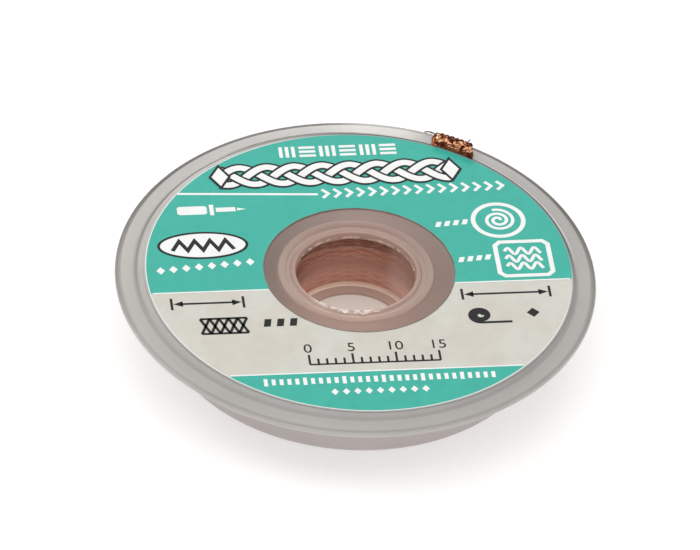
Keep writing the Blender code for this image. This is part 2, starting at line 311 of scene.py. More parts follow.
RING_LINES = [
    (RECESS_TURN_SPAN, RECESS_LINE, RECESS_SHADE),
    (COLLAR_TURN_SPAN, COLLAR_LINE, COLLAR_LIGHT),
    (STEP_TURN_SPAN, STEP_LINE, PAINTED_SHADE),
    (BACK_TURN_SPAN, BACK_LINE, PAINTED_SHADE),
    (RIM_TURN_SPAN, RIM_LINE, PAINTED_SHADE),
    (RIGHT_TURN_SPAN, RIGHT_LINE, PAINTED_HIGHLIGHT),
]
print("painted lines and tints on the flange:", len(RING_LINES))

# %% [markdown]
# Both mouldings are milky polypropylene, which lets some light straight through and scatters
# the rest. A true scattering volume is slow and leaves with the export, so the plastic is a
# plain glossy shader mixed with a clear one. It is browner towards the hub, where the copper
# shines through, and it has faint clouds and a fine grain. A ramp of colours reads each table.

# %% Milky plastic
TINT_START = 9.0 * MM
TINT_END = 24.0 * MM
DEGREE = math.pi / 180
CLOUD_SIZE = 6 * MM
BLOTCH_SIZE = 0.9 * MM
GRAIN_SIZE = 0.5 * MM
GRAIN_DEPTH = 0.02 * MM
MILKY_CLEAR = (0.97, 0.93, 0.9, 1)


def tone_ramp(tree, value, stops, unit):
    """A tone read off a ramp of (spot, tone) stops. The spots are in a unit, such as mm."""
    low, high = stops[0][0], stops[-1][0]
    ramp = add_node(tree, "ValToRGB", {0: ranged(tree, value, 0, 1, low * unit, high * unit)})
    ends = ramp.color_ramp.elements
    for count, (spot, tone) in enumerate(stops):
        share = (spot - low) / (high - low)
        stop = ends[count] if count < 2 else ends.new(share)
        stop.position = share
        stop.color = (tone / 2, tone / 2, tone / 2, 1)
    return ranged(tree, ramp.outputs[0], 0, 2)


def make_milky(name, tints, clears, shaped):
    """Milky plastic. Tints and clearness go from the hub to the rim; shaped adds the tables of painted
    light and shade.
    """
    material, tree, shader = start_material(name)
    place = read_place(tree)
    axes = read_axes(tree, place)
    distance = axis_distance(tree, place)
    outward = ranged(tree, distance, 0, 1, TINT_START, TINT_END, kind="SMOOTHSTEP")
    tint = blend_colours(tree, outward, (*tints[0], 1), (*tints[1], 1))
    shade = ranged(tree, cloud(tree, place, CLOUD_SIZE, 4.0), 0.93, 1.07)
    if shaped:
        # Painted light and shade: tones by the turn, the radius and the height.
        turn = turn_of(tree, axes)
        near = grey(tree, tone_ramp(tree, turn, NEAR_TURN_TONES, DEGREE))
        far = grey(tree, tone_ramp(tree, turn, FAR_TURN_TONES, DEGREE))
        tint = blend_colours(tree, 1.0, tint, blend_colours(tree, outward, near, far), "MULTIPLY")
        shade = multiply(tree, shade, tone_ramp(tree, distance, RADIUS_TONES, MM))
        shade = multiply(tree, shade, tone_ramp(tree, axes[2], HEIGHT_TONES, MM))
        # Painted glints: pale blotches on the near lip.
        glint_blotches = ranged(tree, cloud(tree, place, BLOTCH_SIZE, 3.0), 0, 1, 0.42, 0.55)
        near_side = tone_ramp(tree, turn, LIP_TURN_SPAN, DEGREE)
        near_lip = multiply(tree, near_side, tone_ramp(tree, distance, LIP_SPAN, MM))
        tint = blend_colours(tree, multiply(tree, glint_blotches, near_lip), tint, LIP_GLINT)
    tint = blend_colours(tree, 1.0, tint, grey(tree, shade), "MULTIPLY")
    if shaped:
        # Painted lines of shade and light round the ring.
        for spans, line, line_tint in RING_LINES:
            strength = tone_ramp(tree, turn, spans, DEGREE)
            share = multiply(tree, strength, tone_ramp(tree, distance, line, MM))
            tint = blend_colours(tree, share, tint, line_tint)
    paint(tree, shader, tint)
    grain = cloud(tree, place, GRAIN_SIZE, 3.0)
    tree.links.new(ranged(tree, grain, 0.28, 0.46), shader.inputs["Roughness"])
    bump = add_node(tree, "Bump", {"Height": grain, "Strength": 0.12, "Distance": GRAIN_DEPTH})
    tree.links.new(bump.outputs[0], shader.inputs["Normal"])
    let_light_through(tree, shader, ranged(tree, outward, *clears), MILKY_CLEAR)
    return material


FLANGE_TINTS = ((0.355, 0.24, 0.2), (0.41, 0.40, 0.385))
FLANGE_CLEARS = (0.22, 0.22)
DISH_TINTS = ((0.62, 0.46, 0.39), (0.56, 0.51, 0.50))
DISH_CLEARS = (0.2, 0.18)
flange_plastic = make_milky("flange_milky", FLANGE_TINTS, FLANGE_CLEARS, True)
dish_plastic = make_milky("dish_milky", DISH_TINTS, DISH_CLEARS, False)
print("plastics:", flange_plastic.name, dish_plastic.name)

# %% [markdown]
# Solder wick is a flat tube of thin copper wires, dipped in flux, which gives it a warm, wet shine. Both
# copper finishes start from the same shader. The coil is seen only through the hub, so its weave can be a
# pattern: two sets of slanted bands, read from the turn and the height, and worn out of true by noise.
# They go into the bump, and their crests into the colour, lighter, as a painted highlight.

# %% Copper helpers
WEAVE_ROUND = 13
WEAVE_HEIGHT = 0.72 * MM
WEAVE_WOBBLE = 4.5
WEAVE_DEPTH = 0.1 * MM


def make_copper(name, dark, light, roughness, patch=1.2):
    """Fluxed copper wire with soft changes from dark to light."""
    material, tree, shader = start_material(name)
    place = read_place(tree)
    patches = cloud(tree, place, patch * MM, 4.0)
    tint = blend_colours(tree, ranged(tree, patches, 0, 1, 0.3, 0.7), (*dark, 1), (*light, 1))
    paint(tree, shader, tint)
    shader.inputs["Metallic"].default_value = 1.0
    rough = ranged(tree, cloud(tree, place, 0.3 * MM), roughness - 0.06, roughness + 0.1)
    tree.links.new(rough, shader.inputs["Roughness"])
    shader.inputs["Coat Weight"].default_value = 0.4
    shader.inputs["Coat Roughness"].default_value = 0.15
    return material, tree, shader, place


def add_weave(tree, shader, place):
    """Slanted bands both ways, as bump, on what runs round the axis."""
    axes = read_axes(tree, place)
    round_phase = multiply(tree, turn_of(tree, axes), WEAVE_ROUND)
    rise_phase = multiply(tree, axes[2], 2 * math.pi / WEAVE_HEIGHT)
    wobble = ranged(tree, cloud(tree, place, 2.2 * MM, 3.0), -WEAVE_WOBBLE, WEAVE_WOBBLE)
    rise_phase = add_node(tree, "Math", {0: rise_phase, 1: wobble}, operation="ADD").outputs[0]
    waves = []
    for lean in ("ADD", "SUBTRACT"):
        phase = add_node(tree, "Math", {0: rise_phase, 1: round_phase}, operation=lean).outputs[0]
        waves.append(add_node(tree, "Math", {0: phase}, operation="SINE").outputs[0])
    height = add_node(tree, "Math", {0: waves[0], 1: waves[1]}, operation="MAXIMUM").outputs[0]
    bump = add_node(tree, "Bump", {"Height": height, "Strength": 0.9, "Distance": WEAVE_DEPTH})
    tree.links.new(bump.outputs[0], shader.inputs["Normal"])
    return height


# %% Copper of the coil
CREST_HIGHLIGHT = (1.0, 0.72, 0.58, 1)
EDGE_HIGHLIGHT = (1.0, 0.80, 0.66, 1)
FIRST_TURN = (8.1 * MM, 8.2 * MM)
EDGE_HEIGHTS = (4.95 * MM, 5.2 * MM)

coil_copper, tree, shader, place = make_copper(
    "coil_copper", (0.66, 0.29, 0.19), (0.86, 0.46, 0.33), 0.4
)
shader.inputs["Metallic"].default_value = 0.3
# Painted highlights: the crests of the weave are lighter.
crests = ranged(tree, add_weave(tree, shader, place), 0, 0.75, 0.55, 1.0, kind="SMOOTHSTEP")
copper_tint = shader.inputs["Base Color"].links[0].from_socket
copper_tint = blend_colours(tree, crests, copper_tint, CREST_HIGHLIGHT)
# A painted highlight along the top edge of the first turn, by the hub.
by_hub = ranged(tree, axis_distance(tree, place), 0.9, 0, *FIRST_TURN)
top_edge_highlight = multiply(tree, by_hub, ranged(tree, read_axes(tree, place)[2], 0, 1, *EDGE_HEIGHTS))
paint(tree, shader, blend_colours(tree, top_edge_highlight, copper_tint, EDGE_HIGHLIGHT))
print("copper of the coil:", coil_copper.name)

# %% [markdown]
# On the free end the wires are modelled one by one, so the finish adds only what light does among them, as
# painted light and shade. It is painted dark in the gaps, which lie low in the braid, and on the outer
# edge, a painted red-brown shade on the side that drops to the notch, and patched from brown to cream on
# the crests, as painted highlights. The core under the wires is a near-black fill of painted shade, and
# the loose strays share its near-black finish.

# %% Copper of the free end
PATCH_SIZE = 0.75
# Painted shade on the outer edge and in the low gaps, and painted highlights on the crests.
EDGE_TONES = [(25.0, 1.0), (26.85, 1.0), (27.05, 0.12), (27.9, 0.06)]
CREST_TONES = [
    (8.1, 0.45), (8.6, 0.5), (8.8, 0.22), (8.88, 0.06), (8.97, 0.55), (9.04, 1.0), (9.2, 1.2),
]
GAP_SHADE = (0.11, 0.018, 0.005, 1)
LOW_SIDE_TOP = 8.8 * MM
LOW_SIDE_SHADE = (1.0, 0.5, 0.3, 1)
NEAR_BLACK_LOW = (0.02, 0.006, 0.003, 1)
NEAR_BLACK_HIGH = (0.08, 0.02, 0.01, 1)

wire_copper, tree, shader, place = make_copper(
    "wire_copper", (0.72, 0.20, 0.055), (1.0, 0.62, 0.35), 0.26, PATCH_SIZE
)
shader.inputs["Metallic"].default_value = 0.7
shader.inputs["Coat Weight"].default_value = 0.0
distance = axis_distance(tree, place)
height = read_axes(tree, place)[2]
# Painted highlights: cream patches on the crests, painted shade in the gaps.
patches = ranged(tree, cloud(tree, place, PATCH_SIZE * MM, 1.0), 0, 1.4, 0.41, 0.59)
share = multiply(tree, patches, tone_ramp(tree, distance, EDGE_TONES, MM))
share = multiply(tree, share, tone_ramp(tree, height, CREST_TONES, MM))
bright_tint = shader.inputs["Base Color"].links[0].from_socket
tint = blend_colours(tree, share, GAP_SHADE, bright_tint)
# Painted shade: red-brown on the low side that drops to the notch.
low_side_shade = ranged(tree, height, 0.85, 0, LOW_SIDE_TOP - 0.1 * MM, LOW_SIDE_TOP)
red_brown_shade = blend_colours(tree, 1.0, tint, LOW_SIDE_SHADE, "MULTIPLY")
paint(tree, shader, blend_colours(tree, low_side_shade, tint, red_brown_shade))

# A near-black fill for the core, as painted shade, also used for the strays.
near_black_finish, tree, shader = start_material("near_black_core_and_strays")
place = read_place(tree)
paint(tree, shader, blend_colours(tree, cloud(tree, place, 0.4 * MM), NEAR_BLACK_LOW, NEAR_BLACK_HIGH))
print("copper of the free end:", wire_copper.name, near_black_finish.name)

# %% [markdown]
# The hub tube is so clear that the coil shows through it. Towards the ledge the plastic gets thicker and
# milkier, and the copper glows in it as a blur, so there the weave is part of the plastic's own colour,
# and the material borrows the pattern of the coil. Above the coil the clear part is tinted darker, as
# painted shade for the shadowed space behind it. A light band over the fillet at the ledge is a painted
# highlight, and one side of the bore gets painted light: it is paler than the other and lets less through.

# %% Hub plastic
HAZE_TOP = 4.6 * MM
HAZE_FOOT = 1.9 * MM
HAZE_DARK = (0.52, 0.245, 0.175, 1)
HAZE_LIGHT = (0.62, 0.32, 0.245, 1)
FILLET_TOP = 1.05 * MM
FILLET_FOOT = 0.9 * MM
FILLET_HIGHLIGHT = (0.97, 0.76, 0.62, 1)
HUB_TINT = (0.74, 0.43, 0.34, 1)
HUB_CLEAR = (1.0, 0.94, 0.91, 1)
HUB_TOP_SHADED_CLEAR = (0.83, 0.75, 0.73, 1)
PALE_TURN_SPAN = [(-180, 0), (-30, 0), (10, 0.5), (35, 0.5), (52, 0.4), (62, 0), (180, 0)]
PALE_SIDE_LIGHT = (0.80, 0.60, 0.54, 1)

hub_plastic, tree, shader = start_material("hub_milky")
place = read_place(tree)
axes = read_axes(tree, place)
height = axes[2]
crests = ranged(tree, add_weave(tree, shader, place), 0, 1, -0.4, 1.0, kind="SMOOTHSTEP")
haze_tint = blend_colours(tree, crests, HAZE_DARK, HAZE_LIGHT)
# A painted highlight: a light band over the fillet at the ledge.
above_fillet = ranged(tree, height, 0, 1, FILLET_FOOT, FILLET_TOP)
haze_tint = blend_colours(tree, above_fillet, FILLET_HIGHLIGHT, haze_tint)
above_haze = ranged(tree, height, 0, 1, HAZE_FOOT, HAZE_TOP, kind="SMOOTHSTEP")
tint = blend_colours(tree, above_haze, haze_tint, HUB_TINT)
# Painted light: one side of the bore is paler.
pale = tone_ramp(tree, turn_of(tree, axes), PALE_TURN_SPAN, DEGREE)
paint(tree, shader, blend_colours(tree, pale, tint, PALE_SIDE_LIGHT))
tree.nodes["Bump"].inputs["Strength"].default_value = 0.1
shader.inputs["Roughness"].default_value = 0.3
# Painted shade: above the coil the clear part is tinted darker.
above_coil = ranged(tree, height, 0, 1, 5.3 * MM, 5.6 * MM)
clear_tint = blend_colours(tree, above_coil, HUB_CLEAR, HUB_TOP_SHADED_CLEAR)
clearness = multiply(tree, above_haze, ranged(tree, height, 0.68, 0.88, HAZE_TOP, 5.7 * MM))
clearness = multiply(tree, clearness, ranged(tree, pale, 1.0, 0.55))
let_light_through(tree, shader, clearness, clear_tint)
print("hub plastic:", hub_plastic.name)

# %% [markdown]
# Round mouldings are turned, as on a lathe. The section is drawn first: a plane is merged to a
# single point, and that point is extruded from corner to corner. Its corners are rounded by a
# vertex bevel, and spin sweeps the line once round the axis. Editing by hand, one would click
# on the points. A script picks them by their place.

# %% Turning helpers
TURN_STEPS = 192
CORNER_STEPS = 4
TOUCH = 0.001 * MM
SMOOTH_ANGLE = math.radians(40)


def hold(piece):
    """Makes a piece the only one selected, and the active one."""
    bpy.ops.object.select_all(action="DESELECT")
    piece.select_set(True)
    bpy.context.view_layer.objects.active = piece


def select_points(piece, test):
    """In edit mode, selects the points whose place passes a test."""
    bpy.ops.mesh.select_all(action="DESELECT")
    shape = bmesh.from_edit_mesh(piece.data)
    for vert in shape.verts:
        vert.select = test(vert.co)
    shape.select_flush(True)
    bmesh.update_edit_mesh(piece.data)


def draw_section(name, corners):
    """A closed line through corners, drawn by extruding one point."""
    bpy.ops.object.select_all(action="DESELECT")
    bpy.ops.mesh.primitive_plane_add(size=MM, location=corners[0])
    piece = bpy.context.object
    piece.name = name
    piece.data.name = name
    bpy.ops.object.transform_apply()
    bpy.ops.object.mode_set(mode="EDIT")
    bpy.ops.mesh.merge(type="CENTER")
    for here, there in zip(corners, corners[1:]):
        bpy.ops.mesh.extrude_vertices_move(TRANSFORM_OT_translate={"value": there - here})
    ends = (corners[0], corners[-1])
    select_points(piece, lambda point: any((point - end).length < TOUCH for end in ends))
    bpy.ops.mesh.edge_face_add()
    return piece


def turn_section(name, section, steps=TURN_STEPS):
    """A ring turned from a closed section of (radius, height, rounding) corners, in mm."""
    corners = [Vector((radius, 0, height)) * MM for radius, height, _ in section]
    piece = draw_section(name, corners)
    for rounding in sorted({corner[2] for corner in section if corner[2]}):
        rounded = [place for place, corner in zip(corners, section) if corner[2] == rounding]
        select_points(piece, lambda point: any((point - place).length < TOUCH for place in rounded))
        bpy.ops.mesh.bevel(offset=rounding * MM, segments=CORNER_STEPS, affect="VERTICES")
    bpy.ops.mesh.select_all(action="SELECT")
    bpy.ops.mesh.spin(steps=steps, angle=2 * math.pi, center=(0, 0, 0), axis=(0, 0, 1))
    bpy.ops.mesh.select_all(action="SELECT")
    bpy.ops.mesh.remove_doubles(threshold=TOUCH / 10)
    bpy.ops.mesh.normals_make_consistent(inside=False)
    bpy.ops.object.mode_set(mode="OBJECT")
    hold(piece)
    bpy.ops.object.shade_smooth_by_angle(angle=SMOOTH_ANGLE)
    return piece


def cut_box(piece, size, centre, turn):
    """Cuts a box out of a piece."""
    bpy.ops.object.select_all(action="DESELECT")
    bpy.ops.mesh.primitive_cube_add(size=1, location=centre, rotation=(0, 0, turn), scale=size)
    cutter = bpy.context.object
    modifier = piece.modifiers.new("Cut", "BOOLEAN")
    modifier.operation = "DIFFERENCE"
    modifier.solver = "EXACT"
    modifier.object = cutter
    hold(piece)
    bpy.ops.object.modifier_apply(modifier=modifier.name)
    bpy.data.objects.remove(cutter)
    bpy.ops.object.shade_smooth_by_angle(angle=SMOOTH_ANGLE)


def join_root(piece, node):
    """Lets a piece stand for a CAD node: it is parented to the bobbin's root, and the node is hidden."""
    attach(piece, "root")
    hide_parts(node)


print("turning in", TURN_STEPS, "steps")

# %% [markdown]
# The flange is the upper moulding: a disc under a millimetre thick. Its rim lies a quarter of a
# millimetre lower than its middle, with a short slope between, so that the label is out of harm's
# way. Round the bore it has a low collar with a groove, and below it a skirt that sits
# inside the dish. The section runs once round all of that.

# %% Flange
RIM_RADIUS = 27.9
RIM_BOTTOM = 7.38
RIM_TOP = 8.15
PLATEAU_RADIUS = 25.0
PLATEAU_TOP = 8.4
PLATEAU_UNDERSIDE = 7.45
STEP_FOOT_RADIUS = 25.8
COLLAR_TOP = 8.52
BORE_RADIUS = 7.0

SKIRT_OUTER = 22.0
SKIRT_INNER = 21.2
SKIRT_FOOT = 6.45
GROOVE_TOP = 8.43
EASED_EDGE = 0.06

flange_section = [
    (RIM_RADIUS, RIM_BOTTOM, 0.2),
    (RIM_RADIUS, RIM_TOP, 0.4),
    (STEP_FOOT_RADIUS, RIM_TOP, 0.2),
    (PLATEAU_RADIUS, PLATEAU_TOP, 0.2),
    (9.17, PLATEAU_TOP, EASED_EDGE),
    (9.05, COLLAR_TOP, EASED_EDGE),
    (8.25, COLLAR_TOP, EASED_EDGE),
    (8.10, GROOVE_TOP, EASED_EDGE),
    (7.70, GROOVE_TOP, EASED_EDGE),
    (7.55, COLLAR_TOP, EASED_EDGE),
    (BORE_RADIUS, COLLAR_TOP, 0.25),
    (BORE_RADIUS, PLATEAU_UNDERSIDE, EASED_EDGE),
    (SKIRT_INNER, PLATEAU_UNDERSIDE, EASED_EDGE),
    (SKIRT_INNER, SKIRT_FOOT, EASED_EDGE),
    (SKIRT_OUTER, SKIRT_FOOT, EASED_EDGE),
    (SKIRT_OUTER, PLATEAU_UNDERSIDE, EASED_EDGE),
    (PLATEAU_RADIUS, PLATEAU_UNDERSIDE, 0.2),
    (STEP_FOOT_RADIUS, RIM_BOTTOM, 0.2),
]
flange = turn_section("flange_cap", flange_section)
print("flange section corners:", len(flange_section))

# %% [markdown]
# The braid passes through a notch in the rim. A cutter takes it out: a plain box, a little taller
# than the disc, is placed where the notch is, and a Boolean modifier subtracts it. The notch is
# not quite radial, because the braid pulls sideways as it comes up.

# %% Notch in the rim
NOTCH_TURN = math.radians(71.4)
NOTCH_SKEW = math.radians(18)
NOTCH_WIDTH = 1.1
NOTCH_INNER = 25.3
NOTCH_OUTER = 29.0
NOTCH_CUT_HEIGHT = 4.0

notch_middle = (NOTCH_INNER + NOTCH_OUTER) / 2 * MM
cut_box(
    flange,
    ((NOTCH_OUTER - NOTCH_INNER) * MM, NOTCH_WIDTH * MM, NOTCH_CUT_HEIGHT * MM),
    (notch_middle * math.cos(NOTCH_TURN), notch_middle * math.sin(NOTCH_TURN), RIM_TOP * MM),
    NOTCH_TURN + NOTCH_SKEW,
)
flange.data.materials.append(flange_plastic)
join_root(flange, "top_flange")
print("flange faces:", len(flange.data.polygons))

# %% [markdown]
# Where the hub tube meets the flange, the weld has squeezed out a thin bead of plastic. It is a small ring
# in the bore, turned in few steps so that its points can be shaken a little: random moves of each point
# give the torn edge that glints. Its bright spots are painted glints. Its finish also serves the painted
# glints on the lip, which lie higher, so low down it gets painted shade.

# %% Weld bead in the bore
BEAD_STEPS = 44
BEAD_SHAKE = 0.11
BEAD_SINK = 0.03
BEAD_INNER = 6.9
BEAD_DARK = (0.50, 0.38, 0.33, 1)
BEAD_GLINT = (0.90, 0.82, 0.76, 1)
BEAD_SHADE = (0.62, 0.52, 0.48, 1)

bead_section = [
    (BORE_RADIUS + BEAD_SINK, 7.66, 0),
    (BORE_RADIUS + BEAD_SINK, 7.86, 0),
    (BEAD_INNER, 7.80, 0),
    (BEAD_INNER, 7.70, 0),
]
bead = turn_section("weld_bead", bead_section, BEAD_STEPS)
bpy.ops.object.mode_set(mode="EDIT")
bpy.ops.mesh.select_all(action="SELECT")
bpy.ops.transform.vertex_random(offset=BEAD_SHAKE * MM, seed=4)
bpy.ops.object.mode_set(mode="OBJECT")

bead_plastic, tree, shader = start_material("bead_milky")
place = read_place(tree)
# Painted glints: bright spots on the bead.
glint_spots = ranged(tree, cloud(tree, place, 0.8 * MM), 0, 1, 0.44, 0.6)
tint = blend_colours(tree, glint_spots, BEAD_DARK, BEAD_GLINT)
# Painted shade low down in the bore.
on_lip = ranged(tree, read_axes(tree, place)[2], 0, 1, 8.0 * MM, 8.3 * MM)
shade = blend_colours(tree, on_lip, BEAD_SHADE, (1, 1, 1, 1))
tint = blend_colours(tree, 1.0, tint, shade, "MULTIPLY")
paint(tree, shader, tint)
shader.inputs["Roughness"].default_value = 0.2
bead.data.materials.append(bead_plastic)
join_root(bead, "top_flange")
print("bead faces:", len(bead.data.polygons))

# %% [markdown]
# The dish is the lower moulding: a floor, a wall that leans out a little so that it leaves the
# mould, and the hub tube, which ends on a ledge round the base hole. It is turned in one piece,
# as the flange is, because a moulding like this has no joint between hub and floor.

# %% Dish with hub
HUB_OUTER = 7.8
DISH_MOUTH = 23.2
DISH_FOOT = 22.3
DISH_WALL = 0.9
WALL_TOP = 7.4
DISH_FLOOR = 0.8
LEDGE_HOLE = 5.7
LEDGE_TOP = 0.42

dish_section = [
    (DISH_MOUTH, WALL_TOP, 0.15),
    (DISH_MOUTH - DISH_WALL, WALL_TOP, 0.15),
    (DISH_FOOT - DISH_WALL, DISH_FLOOR, 0.5),
    (HUB_OUTER, DISH_FLOOR, 0.2),
    (HUB_OUTER, WALL_TOP, 0.06),
    (BORE_RADIUS, WALL_TOP, 0.06),
    (BORE_RADIUS, LEDGE_TOP, 0.35),
    (LEDGE_HOLE, LEDGE_TOP, 0.12),
    (LEDGE_HOLE, 0, 0.12),
    (DISH_FOOT, 0, 1.0),
]
dish = turn_section("dish_body", dish_section)
print("dish section corners:", len(dish_section))

# %% [markdown]
# The window is cut like the notch. Then the hub's faces get the clearer plastic: they are
# selected by their place, near the axis and above the ledge, and assigned to a second material.

# %% Window and hub faces
WINDOW_TURN = math.radians(102.1)
WINDOW_WIDTH = 7.0
WINDOW_SILL = 1.5
WINDOW_TOP = 8.5
WINDOW_DEPTH = 3.6
HUB_MARGIN = 0.05

window_radius = (DISH_MOUTH - DISH_WALL / 2) * MM
window_height = (WINDOW_TOP - WINDOW_SILL) * MM
cut_box(
    dish,
    (WINDOW_DEPTH * MM, WINDOW_WIDTH * MM, window_height),
    (
        window_radius * math.cos(WINDOW_TURN),
        window_radius * math.sin(WINDOW_TURN),
        WINDOW_SILL * MM + window_height / 2,
    ),
    WINDOW_TURN,
)
dish.data.materials.append(dish_plastic)
dish.data.materials.append(hub_plastic)

hold(dish)
bpy.ops.object.mode_set(mode="EDIT")
hub_reach = (HUB_OUTER + HUB_MARGIN) * MM
ledge_height = LEDGE_TOP * MM + TOUCH
select_points(dish, lambda point: point.to_2d().length < hub_reach and point.z > ledge_height)
dish.active_material_index = 1
bpy.ops.object.material_slot_assign()
bpy.ops.object.mode_set(mode="OBJECT")
join_root(dish, "lower_dish")
print("hub faces:", sum(1 for face in dish.data.polygons if face.material_index == 1))

# %% [markdown]
# The braid and the prints on the label are all lines of an even section. A curve makes such a
# thing: a line through points, and an outline that is swept along it. It is then made a mesh,
# which gets its caps joined. A new spline has one point already, so one fewer is added.

# %% Curve helpers
def draw_lines(name, lines, dimensions="3D", closed=False):
    """A curve object with one straight-edged spline for each list of points, in metres."""
    curve = bpy.data.curves.new(name, "CURVE")
    curve.dimensions = dimensions
    for line in lines:
        spline = curve.splines.new("POLY")
        spline.points.add(len(line) - 1)
        for point, place in zip(spline.points, line):
            point.co = (*place, 1)
        spline.use_cyclic_u = closed
    piece = bpy.data.objects.new(name, curve)
    bpy.context.scene.collection.objects.link(piece)
    return piece


def make_mesh(piece):
    """Turns a curve or a text into a mesh whose caps are joined and whose faces point out."""
    name = piece.name
    hold(piece)
    bpy.ops.object.convert(target="MESH")
    piece = bpy.context.object
    piece.data.name = name
    bpy.ops.object.mode_set(mode="EDIT")
    bpy.ops.mesh.select_all(action="SELECT")
    bpy.ops.mesh.remove_doubles(threshold=TOUCH / 10)
    bpy.ops.mesh.normals_make_consistent(inside=False)
    bpy.ops.object.mode_set(mode="OBJECT")
    bpy.ops.object.shade_smooth_by_angle(angle=SMOOTH_ANGLE)
    return piece


def sweep(piece, outline):
    """Gives a curve a section: a closed outline of (across, up) points, in metres."""
    section = draw_lines("section", [[(across, up, 0) for across, up in outline]], "2D", True)
    piece.data.bevel_mode = "OBJECT"
    piece.data.bevel_object = section
    piece.data.use_fill_caps = True
    made = make_mesh(piece)
    bpy.data.objects.remove(section)
    return made


def polar(degrees, radius, height):
    """A point round the axis, by its turn in degrees and its radius and height in mm."""
    turn = math.radians(degrees)
    return Vector((radius * math.cos(turn), radius * math.sin(turn), height)) * MM


def draw_rods(name, lines, radius, finish, node):
    """Round rods along lines of points in metres, as one mesh that stands for a CAD node."""
    curve = draw_lines(name, lines)
    curve.data.bevel_depth = radius * MM
    curve.data.bevel_resolution = 1
    curve.data.use_fill_caps = True
    piece = make_mesh(curve)
    piece.data.materials.append(finish)
    join_root(piece, node)
    print(name, "faces:", len(piece.data.polygons))


print("curve helpers ready")

# %% [markdown]
# In the coil the braid lies on edge, turn on turn. The real one is one length of braid, so the
# coil is one spiral line with a tall, flat section whose corners are cut. Each turn moves it out
# by a little more than its own thickness, so a thin gap marks every turn from above.

# %% Coil on the hub
COIL_TURNS = 18.4
COIL_INNER = 7.86
TURN_PITCH = 0.6
TURN_THICKNESS = 0.56
COIL_BOTTOM = 0.86
COIL_TOP = 5.4
COIL_CORNER = 0.2
STEPS_A_TURN = 72

coil_line = []
for step in range(int(COIL_TURNS * STEPS_A_TURN) + 1):
    turns = step / STEPS_A_TURN
    angle = turns * 2 * math.pi
    radius = (COIL_INNER + TURN_THICKNESS / 2 + turns * (COIL_TURNS - 1) / COIL_TURNS * TURN_PITCH) * MM
    coil_line.append((radius * math.cos(angle), radius * math.sin(angle), 0))

half = TURN_THICKNESS / 2 * MM
inset = half - COIL_CORNER * MM
bottom, top = COIL_BOTTOM * MM, COIL_TOP * MM
corner = COIL_CORNER * MM
ribbon = [
    (half, bottom + corner),
    (half, top - corner),
    (inset, top),
    (-inset, top),
    (-half, top - corner),
    (-half, bottom + corner),
    (-inset, bottom),
    (inset, bottom),
]
coil = sweep(draw_lines("braid_coil", [coil_line], "2D"), ribbon)
coil.data.materials.append(coil_copper)
join_root(coil, "braid")
print("coil faces:", len(coil.data.polygons))

# %% [markdown]
# The free end starts as a path. Its middle line leaves the coil on edge, turns flat under the rim,
# climbs through the notch and bends over onto the ring. A station on it holds a point, the
# direction across the braid and the way it leans. The stations are close where the braid bends
# and on the rim, where they are seen, and far apart where the spool hides them.

# %% Path of the free end
COIL_OUTER = 18.9
TAIL_WIDTH = 2.3
TAIL_THICKNESS = 0.9
TAIL_RADIUS = 26.4
TAIL_START_RADIUS = COIL_OUTER - 0.95
LEAVES_COIL = math.radians(128)
MEETS_RIM = math.radians(80)
CLEAR_OF_WALL = math.radians(97.7)
TAIL_END = math.radians(59.1)
BEND_RADIUS = 0.5
BEND_PARTS = 7
COIL_MIDDLE = (COIL_BOTTOM + COIL_TOP) / 2
UNDER_RIM = RIM_BOTTOM - 0.15 - TAIL_THICKNESS / 2
OVER_RIM = RIM_TOP + 0.06 + TAIL_THICKNESS / 2
STRAIGHTENS_OVER = 2.5
COARSE_STEP = 0.35
FINE_STEP = 0.11


def eased(share):
    """Goes from 0 to 1 with a level start and finish."""
    share = min(max(share, 0.0), 1.0)
    return share * share * (3 - 2 * share)


def station(angle, radius, height, lean, skew=0.0):
    """The middle of the free end in mm, and the unit vector across its width."""
    outwards = Vector((math.cos(angle), math.sin(angle), 0))
    sideways = Vector((math.cos(angle + skew), math.sin(angle + skew), 0))
    across = sideways * math.sin(lean) + Vector((0, 0, math.cos(lean)))
    return outwards * radius + Vector((0, 0, height)), across


path = []
bend = BEND_RADIUS / TAIL_RADIUS
angle = LEAVES_COIL
while angle > NOTCH_TURN + bend:
    share = (LEAVES_COIL - angle) / (LEAVES_COIL - MEETS_RIM)
    radius = TAIL_START_RADIUS + (TAIL_RADIUS - TAIL_START_RADIUS) * eased(share)
    laid = eased((CLEAR_OF_WALL - angle) / (CLEAR_OF_WALL - NOTCH_TURN - 2 * bend))
    height = COIL_MIDDLE + (UNDER_RIM - COIL_MIDDLE) * laid
    skew = NOTCH_SKEW * eased((MEETS_RIM - angle) / (MEETS_RIM - NOTCH_TURN - bend))
    path.append(station(angle, radius, height, math.pi / 2 * laid, skew))
    angle -= (FINE_STEP if angle < MEETS_RIM else COARSE_STEP) / radius

